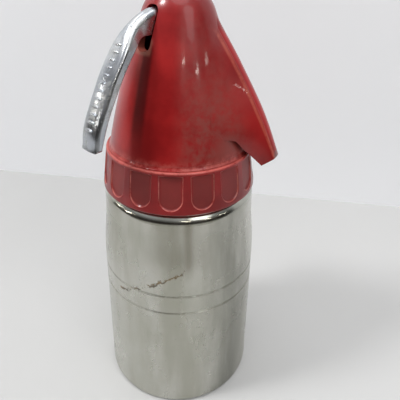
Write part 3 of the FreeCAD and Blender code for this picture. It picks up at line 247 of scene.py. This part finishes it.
soft_lamp("key_light", azimuth=-152, elevation=52, distance=1.6, width=0.35, power=13)
soft_lamp("ceiling_light", azimuth=-60, elevation=80, distance=1.5, width=1.2, power=8)
soft_lamp("window_fill", azimuth=-178, elevation=30, distance=1.8, width=0.3, power=0.2,
          colour=(0.95, 0.98, 1.0))
soft_lamp("room_fill", azimuth=-40, elevation=40, distance=1.8, width=0.9, power=5)
spark_lamps = [(-172, 15, 0.9), (-151, 14, 0.9), (-64, 23, 1.02), (-34, 19, 0.78), (-9, 18, 0.42)]
for spark_number, (spark_azimuth, spark_elevation, spark_power) in enumerate(spark_lamps):
    soft_lamp("far_lamp_%d" % spark_number, spark_azimuth, spark_elevation, distance=1.6, width=0.2,
              power=spark_power, colour=(1.0, 0.95, 0.86), tall=0.035)

# ---- Bottle: lower cup, upper shell and dished end pressed from plated sheet, soldered together with
# the neck ring. The plate is dull and warm, with faint wiping marks that run up it, specks, painted
# dark reflections on the spout's side and below the shoulder, grime in its two rolled lines, and a
# rusty scratch on the front.
nodes = frame["nodes"]


def dress(material, *names):
    """Gives CAD nodes a material."""
    for name in names:
        slots = nodes[name].data.materials
        slots.clear()
        slots.append(material)


def stretched(tree, place, up):
    """Pattern place whose marks run up a piece where up is under 1, and round it where it is over 1."""
    return node(tree, "VectorMath", {0: place, 1: (1.0, 1.0, up)}, operation="MULTIPLY").outputs[0]


def times(tree, *masks):
    """Product of masks and plain shares."""
    product = masks[0]
    for mask in masks[1:]:
        product = maths(tree, "MULTIPLY", product, mask)
    return product


def away_from(tree, given, middle):
    """How far a value is from a middle one, either way."""
    return maths(tree, "ABSOLUTE", maths(tree, "SUBTRACT", given, middle))


def laid_on(tree, colour, mask, paint, cover):
    """Lays a paint on a colour where the mask is, and covers it by the given share."""
    return mixed(tree, maths(tree, "MULTIPLY", mask, cover), colour, paint)


def turn_round(tree, axes):
    """Angle of a place round the siphon's upright axis, from the spout."""
    return maths(tree, "ARCTAN2", axes["Y"], axes["X"])


def bump_on(tree, shader, height, distance, strength, socket="Normal"):
    """Low relief from a pattern, on the surface or on its coat."""
    made = node(tree, "Bump", {"Height": height, "Distance": distance, "Strength": strength})
    tree.links.new(made.outputs[0], shader.inputs[socket])


plate_dull = shade(186, 186, 176)
plate_clean = shade(202, 201, 194)
wipe_grey = shade(160, 159, 145)
speck_brown = shade(110, 108, 92)
plate, tree, shader = material_of("dulled_plate", Metallic=1.0)
place = object_place(tree)
axes = split(tree, place)
upright = axes["Z"]
around = turn_round(tree, axes)
wiped = noise(tree, stretched(tree, place, up=0.18), scale=60.0, detail=5.0)
cloud = noise(tree, place, scale=22.0, detail=5.0, roughness=0.6)
specks = ramp(tree, noise(tree, place, scale=420.0, detail=3.0, roughness=0.7), empty=0.66, full=0.74)
plate_colour = mixed(tree, ramp(tree, cloud, empty=0.3, full=0.7), plate_dull, plate_clean)
plate_colour = laid_on(tree, plate_colour, ramp(tree, wiped, empty=0.4, full=0.7), wipe_grey, cover=0.6)
plate_colour = laid_on(tree, plate_colour, specks, speck_brown, cover=0.35)

# Painted dark reflection: a broad grey band on the spout's side, streaked like the wiping marks.
dark_reflection_grey = shade(136, 136, 128)
dark_reflection_turn = math.radians(-34)
dark_reflection_reach = math.radians(30)
painted_dark_reflection = times(tree, ramp(tree, away_from(tree, around, dark_reflection_turn), empty=dark_reflection_reach, full=0.0),
                ramp(tree, wiped, empty=0.25, full=0.6))
plate_colour = laid_on(tree, plate_colour, painted_dark_reflection, dark_reflection_grey, cover=0.8)

# Painted dark reflection: a narrow brownish run below the shoulder.
dark_run_brown = shade(120, 112, 92)
dark_run_turn = math.radians(-68)
dark_run_reach = math.radians(5)
dark_run_foot = 0.092
dark_run_top = 0.108
painted_dark_run = times(tree, ramp(tree, away_from(tree, around, dark_run_turn), empty=dark_run_reach, full=0.0),
              ramp(tree, upright, empty=dark_run_foot, full=dark_run_top), ramp(tree, cloud, empty=0.2, full=0.6))
plate_colour = laid_on(tree, plate_colour, painted_dark_run, dark_run_brown, cover=0.5)

# Grime: lies in the seam of the two shells and in the rolled groove below it.
grime_grey = shade(112, 110, 98)
seam_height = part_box("bottle_lower_cup")[1][2]
groove_height = seam_height - 0.012
grime_edge = 0.0011
grime_core = 0.0003
crumbs = noise(tree, place, scale=300.0, detail=4.0, roughness=0.7)
line_gap = maths(tree, "MINIMUM", away_from(tree, upright, seam_height),
                 away_from(tree, upright, groove_height))
grime = times(tree, ramp(tree, line_gap, empty=grime_edge, full=grime_core),
              ramp(tree, crumbs, empty=0.25, full=0.6))
plate_colour = laid_on(tree, plate_colour, grime, grime_grey, cover=0.55)

# Scratch: climbs a little to the right, strays from its line, and is broken up into rusty crumbs.
rust_pale = shade(128, 104, 62)
rust_dark = shade(66, 52, 34)
scratch_middle = math.radians(-98)
scratch_half = math.radians(30)
scratch_half_full = math.radians(24)
scratch_height = 0.0892
scratch_climb = 0.0244
scratch_width = 0.0013
scratch_core = 0.00039
scratch_stray = 0.009
patch_growth = 0.12
rust_share = 0.8
along = maths(tree, "SUBTRACT", around, scratch_middle)
line_height = maths(tree, "MULTIPLY_ADD", along, scratch_climb, scratch_height)
off_line = maths(tree, "SUBTRACT", upright, line_height)
off_line = maths(tree, "MULTIPLY_ADD", maths(tree, "SUBTRACT", crumbs, 0.5), scratch_stray, off_line)
patchy = maths(tree, "MULTIPLY_ADD", along, patch_growth,
               noise(tree, place, scale=170.0, detail=3.0, roughness=0.65))
scratch = times(
    tree, ramp(tree, maths(tree, "ABSOLUTE", off_line), empty=scratch_width, full=scratch_core),
    ramp(tree, maths(tree, "ABSOLUTE", along), empty=scratch_half, full=scratch_half_full),
    ramp(tree, patchy, empty=0.44, full=0.52))
rust = mixed(tree, ramp(tree, crumbs, empty=0.35, full=0.65), rust_pale, rust_dark)
plate_colour = laid_on(tree, plate_colour, scratch, rust, cover=0.9)
tree.links.new(plate_colour, shader.inputs["Base Color"])
tree.links.new(maths(tree, "MULTIPLY_ADD", scratch, -rust_share, 1.0), shader.inputs["Metallic"])

# Gloss: duller in the clouds, the wiping marks and the grime, and brighter on the rolled shoulder.
plate_roughness = 0.13
cloud_dulling = 0.16
wipe_dulling = 0.12
grime_dulling = 0.2
shoulder_polish = 0.3
shoulder_foot = 0.1215
shoulder_top = 0.127
dulling = maths(tree, "MULTIPLY_ADD", wiped, wipe_dulling, plate_roughness)
dulling = maths(tree, "MULTIPLY_ADD", cloud, cloud_dulling, dulling)
shoulder = ramp(tree, upright, empty=shoulder_foot, full=shoulder_top)
dulling = maths(tree, "MULTIPLY", dulling, maths(tree, "MULTIPLY_ADD", shoulder, -shoulder_polish, 1.0))
dulling = maths(tree, "MULTIPLY_ADD", grime, grime_dulling, dulling)
tree.links.new(dulling, shader.inputs["Roughness"])
dents = noise(tree, stretched(tree, place, up=0.5), scale=26.0, detail=1.0)
bump_on(tree, shader, dents, distance=0.0003, strength=0.6)
dress(plate, "bottle_lower_cup", "bottle_upper_shell", "base_dome", "neck_ring")


# ---- Head: die-cast in one with the spout fin, sprayed and stoved in a deep red gloss enamel.
# Years of handling left a dusty bloom, and the paint is rubbed thin and chipped along the edges.
# Light and shade are painted on it too: the lever's shadow below the slot, a lit crest and a crease
# highlight.
def enamel(name):
    """Red gloss enamel under a coat; returns the material, its tree and its shader."""
    return material_of(name, Specular_IOR_Level=0.35, Coat_Weight=0.25, Coat_Roughness=0.03)


def off_axis(tree, axes):
    """Distance of a place from the siphon's upright axis."""
    flat = node(tree, "CombineXYZ", {0: axes["X"], 1: axes["Y"]}).outputs[0]
    return node(tree, "VectorMath", {0: flat}, operation="LENGTH").outputs["Value"]


def part_along(tree, place, way):
    """How far a place lies along a direction."""
    return node(tree, "VectorMath", {0: place, 1: way}, operation="DOT_PRODUCT").outputs["Value"]


head_deep = shade(136, 20, 22)
head_lit = shade(170, 35, 35)
rubbed_pink = shade(196, 92, 84)
coarse_mottle = 0.45
fine_mottle = 0.75
head_paint, tree, shader = enamel("head_enamel")
place = object_place(tree)
axes = split(tree, place)
upright = axes["Z"]
radius = off_axis(tree, axes)
cloud = noise(tree, place, scale=30.0, detail=5.0, roughness=0.6)
fine = noise(tree, place, scale=260.0, detail=4.0, roughness=0.7)
mottle = maths(tree, "MULTIPLY_ADD", cloud, coarse_mottle, maths(tree, "MULTIPLY", fine, fine_mottle))
head_colour = mixed(tree, ramp(tree, cloud, empty=0.35, full=0.7), head_deep, head_lit)

# Dust: on the side between the lever and the spout, thicker low down, and thick under the spout's arch.
dust_brown = shade(136, 74, 66)
dust_turn = math.radians(-46)
dust_way = Vector((math.cos(dust_turn), math.sin(dust_turn), 0))
dust_top = 0.236
dust_low = 0.165
dust_share = 0.3
dust_more_low = 0.7
dust_cover = 0.85
arch_in = 0.022
arch_out = 0.03
arch_top = 0.182
arch_low = 0.17
cone_inside = 0.0385
cone_outside = 0.0415
arch_cover = 0.6
facing = maths(tree, "DIVIDE", part_along(tree, place, dust_way), radius)
low_down = ramp(tree, upright, empty=dust_top, full=dust_low)
thicker = maths(tree, "MULTIPLY_ADD", low_down, dust_more_low, dust_share)
dusty = times(tree, ramp(tree, facing, empty=0.8, full=1.0), thicker,
              ramp(tree, mottle, empty=0.4, full=0.85), dust_cover)
under_arch = times(tree, ramp(tree, axes["X"], empty=arch_in, full=arch_out),
                   ramp(tree, upright, empty=arch_top, full=arch_low),
                   ramp(tree, radius, empty=cone_outside, full=cone_inside), arch_cover)
dusty = maths(tree, "MAXIMUM", dusty, under_arch)
head_colour = mixed(tree, dusty, head_colour, dust_brown)

# Fin edge: painted light, a brighter red on its crest strip. The edge bows about its middle.
crest_light_red = shade(184, 24, 30)
crease_highlight_pink = shade(206, 104, 84)
fin_lean = Vector((0.878, 0.0, 0.478))
fin_reach = 0.1295
fin_bow = 1.5
fin_middle = 0.2
fin_top = 0.228
fin_fade = 0.006
crest_edge = 0.0016
crest_core = 0.0006
crease_sink = 0.0022
crease_edge = 0.0009
crease_core = 0.0002
from_middle = maths(tree, "SUBTRACT", upright, fin_middle)
bow = times(tree, from_middle, from_middle, fin_bow)
edge_reach = maths(tree, "SUBTRACT", fin_reach, bow)
edge_gap = maths(tree, "SUBTRACT", edge_reach, part_along(tree, place, fin_lean))
on_fin = ramp(tree, upright, empty=fin_top, full=fin_top - fin_fade)
painted_crest_light = times(tree, ramp(tree, edge_gap, empty=crest_edge, full=crest_core), on_fin)
head_colour = laid_on(tree, head_colour, painted_crest_light, crest_light_red, cover=0.7)
# Crease: a painted highlight along the crease beside the crest, broken up like rubbed paint.
crease_gap = away_from(tree, edge_gap, crease_sink)
crease_highlight = times(tree, ramp(tree, crease_gap, empty=crease_edge, full=crease_core), on_fin,
               ramp(tree, mottle, empty=0.35, full=0.65))
head_colour = laid_on(tree, head_colour, crease_highlight, crease_highlight_pink, cover=0.55)

# Streak: a painted shadow of the lever, a dark run down the cone below the slot.
lever_shadow_dark = shade(60, 12, 12)
streak_turn = math.radians(-110.5)
streak_edge = 0.15
streak_core = 0.06
streak_foot = 0.158
streak_full = 0.19
streak_top = 0.222
streak_top_fade = 0.006
beside = away_from(tree, turn_round(tree, axes), streak_turn)
painted_lever_shadow = times(tree, ramp(tree, beside, empty=streak_edge, full=streak_core),
               ramp(tree, upright, empty=streak_foot, full=streak_full),
               ramp(tree, upright, empty=streak_top, full=streak_top - streak_top_fade))
head_colour = laid_on(tree, head_colour, painted_lever_shadow, lever_shadow_dark, cover=0.75)

# Slot: its lower end is rubbed by the lever, which comes out square to its own hinge.
joints = {joint["name"]: joint for joint in frame["joints"]}
lever_across = Vector(joints["lever_squeeze"]["axis"])
lever_out = Vector((lever_across.y, -lever_across.x, 0))
# The slot's lower end is also painted paler inside: painted light that lifts the shade in its recess.
slot_light_brown = shade(160, 104, 88)
slot_edge = 0.0062
slot_core = 0.005
slot_foot = 0.2135
slot_foot_full = 0.2155
slot_top_full = 0.22
slot_top = 0.2235
slot_inside = 0.012
slot_outside = 0.014
across_slot = maths(tree, "ABSOLUTE", part_along(tree, place, lever_across))
slot_rub_and_light = times(tree, ramp(tree, across_slot, empty=slot_edge, full=slot_core),
                 ramp(tree, upright, empty=slot_top, full=slot_top_full),
                 ramp(tree, upright, empty=slot_foot, full=slot_foot_full),
                 ramp(tree, part_along(tree, place, lever_out), empty=slot_inside, full=slot_outside),
                 ramp(tree, mottle, empty=0.3, full=0.6))
head_colour = laid_on(tree, head_colour, slot_rub_and_light, slot_light_brown, cover=0.6)

# Spout tip: knocked down to the metal. Foot of the cone: rubbed where it stands in the collar's ledge.
bare_metal = shade(124, 116, 114)
spout_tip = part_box("head_casting")[1][0]
collar_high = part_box("fluted_collar")[1]
tip_edge = spout_tip - 0.0026
tip_core = spout_tip - 0.0006
foot_edge = collar_high[2] + 0.0059
foot_core = collar_high[2] + 0.0014
foot_inside = 0.0415
foot_outside = 0.043
paint_roughness = 0.28
dust_dulling = 0.3
coat_roughness = 0.03
dust_on_coat = 0.25
tip_rub = times(tree, ramp(tree, axes["X"], empty=tip_edge, full=tip_core),
                ramp(tree, mottle, empty=0.4, full=0.55))
head_colour = laid_on(tree, head_colour, tip_rub, bare_metal, cover=0.8)
foot_rub = times(tree, ramp(tree, upright, empty=foot_edge, full=foot_core),
                 ramp(tree, fine, empty=0.35, full=0.65),
                 ramp(tree, radius, empty=foot_outside, full=foot_inside))
head_colour = laid_on(tree, head_colour, foot_rub, rubbed_pink, cover=0.7)
tree.links.new(head_colour, shader.inputs["Base Color"])
tree.links.new(maths(tree, "MULTIPLY_ADD", dusty, dust_dulling, paint_roughness),
               shader.inputs["Roughness"])
tree.links.new(maths(tree, "MULTIPLY_ADD", dusty, dust_on_coat, coat_roughness),
               shader.inputs["Coat Roughness"])
bump_on(tree, shader, cloud, distance=0.0004, strength=0.35, socket="Coat Normal")
dress(head_paint, "head_casting")

# ---- Collar: cast ring with scooped flutes, in the same enamel as the head, screwed on the neck ring.
# Dust lies on the floors of the scoops, and the ledge on top is rubbed pale. Their rims are rubbed pale
# too and carry a painted highlight.
collar_deep = shade(126, 19, 22)
collar_lit = shade(164, 33, 35)
scoop_dust = shade(122, 50, 46)
scoop_rim_highlight = shade(208, 120, 108)
collar_belly = collar_high[0]
collar_belly_height = 0.138
collar_lean = 0.1208
floor_start = 0.0007
floor_full = 0.00095
rim_start = 0.00012
rim_full = 0.0003
rim_fade = 0.00055
rim_end = 0.0008
ledge_start = collar_high[2] - 0.0013
ledge_full = collar_high[2] - 0.0004
fine_grain = 0.25
collar_roughness = 0.3
collar_paint, tree, shader = enamel("collar_enamel")
place = object_place(tree)
axes = split(tree, place)
upright = axes["Z"]
cloud = noise(tree, place, scale=34.0, detail=5.0, roughness=0.6)
fine = noise(tree, place, scale=240.0, detail=4.0, roughness=0.7)
climb = times(tree, maths(tree, "SUBTRACT", upright, collar_belly_height), collar_lean)
depth = maths(tree, "SUBTRACT", maths(tree, "SUBTRACT", collar_belly, climb), off_axis(tree, axes))
collar_colour = mixed(tree, ramp(tree, cloud, empty=0.35, full=0.75), collar_deep, collar_lit)
grain = maths(tree, "MULTIPLY_ADD", fine, fine_grain, cloud)
floor_dust = times(tree, ramp(tree, depth, empty=floor_start, full=floor_full),
                   ramp(tree, grain, empty=0.3, full=0.7))
collar_colour = laid_on(tree, collar_colour, floor_dust, scoop_dust, cover=0.55)
# Rims of the scoops: a painted highlight on their sloped sides, broken up like rubbed paint.
rim_highlight_and_rub = times(tree, ramp(tree, depth, empty=rim_start, full=rim_full),
                ramp(tree, depth, empty=rim_end, full=rim_fade), ramp(tree, fine, empty=0.25, full=0.6))
collar_colour = laid_on(tree, collar_colour, rim_highlight_and_rub, scoop_rim_highlight, cover=0.7)
ledge_rub = times(tree, ramp(tree, upright, empty=ledge_start, full=ledge_full),
                  ramp(tree, fine, empty=0.3, full=0.55))
collar_colour = laid_on(tree, collar_colour, ledge_rub, rubbed_pink, cover=0.75)
tree.links.new(collar_colour, shader.inputs["Base Color"])
tree.links.new(maths(tree, "MULTIPLY_ADD", floor_dust, dust_dulling, collar_roughness),
               shader.inputs["Roughness"])
bump_on(tree, shader, cloud, distance=0.0004, strength=0.35, socket="Coat Normal")
dress(collar_paint, "fluted_collar")

# ---- Lever: cast, polished and chromed, and hung on its pin across the dome.
# Its plate is a little cloudy, with dull smudges from handling.
chrome_grey = shade(176, 181, 189)
chrome_pale = shade(208, 210, 212)
smudge_grey = shade(170, 170, 162)
chrome_roughness = 0.24
smudge_dulling = 0.12
chrome, tree, shader = material_of("lever_plate", Metallic=1.0)
place = object_place(tree)
cloud = noise(tree, place, scale=45.0, detail=5.0, roughness=0.6)
smudge = ramp(tree, noise(tree, place, scale=160.0, detail=4.0, roughness=0.65), empty=0.5, full=0.68)
chrome_colour = mixed(tree, ramp(tree, cloud, empty=0.35, full=0.7), chrome_grey, chrome_pale)
chrome_colour = laid_on(tree, chrome_colour, smudge, smudge_grey, cover=0.35)
tree.links.new(chrome_colour, shader.inputs["Base Color"])
tree.links.new(maths(tree, "MULTIPLY_ADD", smudge, smudge_dulling, chrome_roughness),
               shader.inputs["Roughness"])
bump_on(tree, shader, cloud, distance=0.0003, strength=0.35)
dress(chrome, "lever")

# ---- Grip ribs: a row of plain raised ribs cast with the lever, down the middle of its outer face.
# They are small rounded bars that lie across the handle.
rib_count = 12
rib_top = 0.2215
rib_bottom = 0.1835
rib_half_size = Vector((0.0027, 0.0009, 0.0007))
bead_segments = 20
bead_rings = 12
probe_reach = 0.1
lever_mesh = nodes["lever"].data
lever_shape = BVHTree.FromPolygons([corner.co.copy() for corner in lever_mesh.vertices],
                                   [tuple(face.vertices) for face in lever_mesh.polygons])


def outer_face_at(height):
    """Point on the middle of the lever's outer face at a height."""
    start = lever_out * probe_reach + Vector((0, 0, height))
    return lever_shape.ray_cast(start, -lever_out)[0]


def geometry_tree(name, **sockets):
    """New Geometry Nodes tree with the given inputs; returns it, its input node and their identifiers."""
    tree = bpy.data.node_groups.new(name, "GeometryNodeTree")
    tree.interface.new_socket("Geometry", in_out="OUTPUT", socket_type="NodeSocketGeometry")
    tree.interface.new_socket("Geometry", in_out="INPUT", socket_type="NodeSocketGeometry")
    keys = {}
    for socket, kind in sockets.items():
        made = tree.interface.new_socket(socket, in_out="INPUT", socket_type="NodeSocket" + kind)
        keys[socket] = made.identifier
    return tree, tree.nodes.new("NodeGroupInput"), keys


rib_tree, given, rib_keys = geometry_tree("rib_row", count="Int", half_size="Vector", across="Vector",
                                          material="Material")
line = tree_node(rib_tree, "GeometryNodeMeshToCurve", {"Mesh": given.outputs["Geometry"]})
spaced = tree_node(rib_tree, "GeometryNodeResampleCurve",
                   {"Curve": line.outputs[0], "Count": given.outputs["count"]})
bead = tree_node(rib_tree, "GeometryNodeMeshUVSphere", {"Segments": bead_segments, "Rings": bead_rings})
smooth = tree_node(rib_tree, "GeometryNodeSetShadeSmooth", {"Geometry": bead.outputs["Mesh"]})
level = tree_node(rib_tree, "FunctionNodeAlignRotationToVector", {"Vector": given.outputs["across"]},
                  axis="X")
tangent = tree_node(rib_tree, "GeometryNodeInputTangent")
turned = tree_node(rib_tree, "FunctionNodeAlignRotationToVector",
                   {"Rotation": level.outputs[0], "Vector": tangent.outputs[0]}, axis="Y", pivot_axis="X")
placed = tree_node(rib_tree, "GeometryNodeInstanceOnPoints", {
    "Points": spaced.outputs[0], "Instance": smooth.outputs[0], "Rotation": turned.outputs[0],
    "Scale": given.outputs["half_size"]})
real = tree_node(rib_tree, "GeometryNodeRealizeInstances", {"Geometry": placed.outputs[0]})
coated = tree_node(rib_tree, "GeometryNodeSetMaterial",
                   {"Geometry": real.outputs[0], "Material": given.outputs["material"]})
tree_node(rib_tree, "NodeGroupOutput", {"Geometry": coated.outputs[0]})


def grown(name, start_mesh, tree, values):
    """Runs a Geometry Nodes tree on a mesh and returns the result as a plain mesh object."""
    seed_piece = bpy.data.objects.new(name + "_line", start_mesh)
    scene.collection.objects.link(seed_piece)
    modifier = seed_piece.modifiers.new(name, "NODES")
    modifier.node_group = tree
    for key, given_value in values.items():
        modifier[key] = given_value
    depsgraph = bpy.context.evaluated_depsgraph_get()
    mesh = bpy.data.meshes.new_from_object(seed_piece.evaluated_get(depsgraph))
    bpy.data.objects.remove(seed_piece)
    piece = bpy.data.objects.new(name, mesh)
    scene.collection.objects.link(piece)
    return piece


rib_line = bpy.data.meshes.new("rib_line")
rib_step = (rib_bottom - rib_top) / rib_count
rib_places = [outer_face_at(rib_top + rib_step * step) for step in range(rib_count + 1)]
rib_line.from_pydata(rib_places, [(step, step + 1) for step in range(rib_count)], [])
grip_ribs = grown("lever_grip_ribs", rib_line, rib_tree, {
    rib_keys["count"]: rib_count, rib_keys["half_size"]: rib_half_size, rib_keys["across"]: lever_across,
    rib_keys["material"]: chrome})
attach(grip_ribs, "lever")


# ---- Fittings inside and behind the head: turned brass valve parts, ground pins, black rubber seals,
# an alloy flange ring and filter, a milky plastic dip tube and a moulded dust cap.
def plain_finish(name, pale, dark, grain, metallic, smoothest, roughest, up=1.0):
    """Simple finish with grain in its colour and roughness."""
    material, tree, shader = material_of(name, Metallic=metallic)
    grain_mask = noise(tree, stretched(tree, object_place(tree), up), grain, detail=4.0, roughness=0.6)
    tree.links.new(mixed(tree, ramp(tree, grain_mask, empty=0.3, full=0.7), dark, pale),
                   shader.inputs["Base Color"])
    made = node(tree, "MapRange", {"Value": grain_mask, "To Min": smoothest, "To Max": roughest})
    tree.links.new(made.outputs[0], shader.inputs["Roughness"])
    bump_on(tree, shader, grain_mask, distance=0.0002, strength=0.4)
    return material


brass = plain_finish("turned_brass", shade(206, 170, 104), shade(168, 128, 70), grain=180, metallic=1.0,
                     smoothest=0.18, roughest=0.4, up=9.0)
steel = plain_finish("ground_steel", shade(190, 190, 190), shade(150, 150, 150), grain=220, metallic=1.0,
                     smoothest=0.15, roughest=0.35, up=8.0)
alloy = plain_finish("turned_alloy", shade(196, 196, 192), shade(160, 160, 156), grain=200, metallic=1.0,
                     smoothest=0.25, roughest=0.45, up=8.0)
rubber = plain_finish("black_rubber", shade(44, 44, 46), shade(30, 30, 32), grain=160, metallic=0.0,
                      smoothest=0.55, roughest=0.8)
milky_tube = plain_finish("dip_tube_plastic", shade(226, 226, 216), shade(208, 208, 196), grain=90,
                          metallic=0.0, smoothest=0.25, roughest=0.45)
cap_plastic = plain_finish("cap_plastic", shade(36, 34, 34), shade(26, 25, 25), grain=120, metallic=0.0,
                           smoothest=0.25, roughest=0.45)
dress(brass, "valve_body", "gland_nut", "washer_retainer", "dip_tube_nut", "charging_nipple")
dress(steel, "plunger", "valve_spring", "lever_pivot_pin", "pin_retaining_screw", "piercing_pin")
dress(alloy, "flange_ring", "gas_filter")
dress(rubber, "head_gasket", "plunger_packing", "valve_washer", "dip_tube_seal", "nipple_gasket",
      "check_sleeve")
dress(milky_tube, "dip_tube")
dress(cap_plastic, "dust_cap")

# ---- Valve spring: drawn steel wire coiled between the plunger's retainer and the nut below it.
# A copy of it, merged at its seams, rides with the head and keeps its steel, and the original is hidden.
merge_gap = 1e-6
spring_mesh = nodes["valve_spring"].data.copy()
spring_mesh.name = "valve_spring_wire"
wire = bmesh.new()
wire.from_mesh(spring_mesh)
bmesh.ops.remove_doubles(wire, verts=wire.verts, dist=merge_gap)
wire.to_mesh(spring_mesh)
wire.free()
spring_wire = bpy.data.objects.new("valve_spring_wire", spring_mesh)
scene.collection.objects.link(spring_wire)
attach(spring_wire, "head")
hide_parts("valve_spring")
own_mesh(spring_wire)
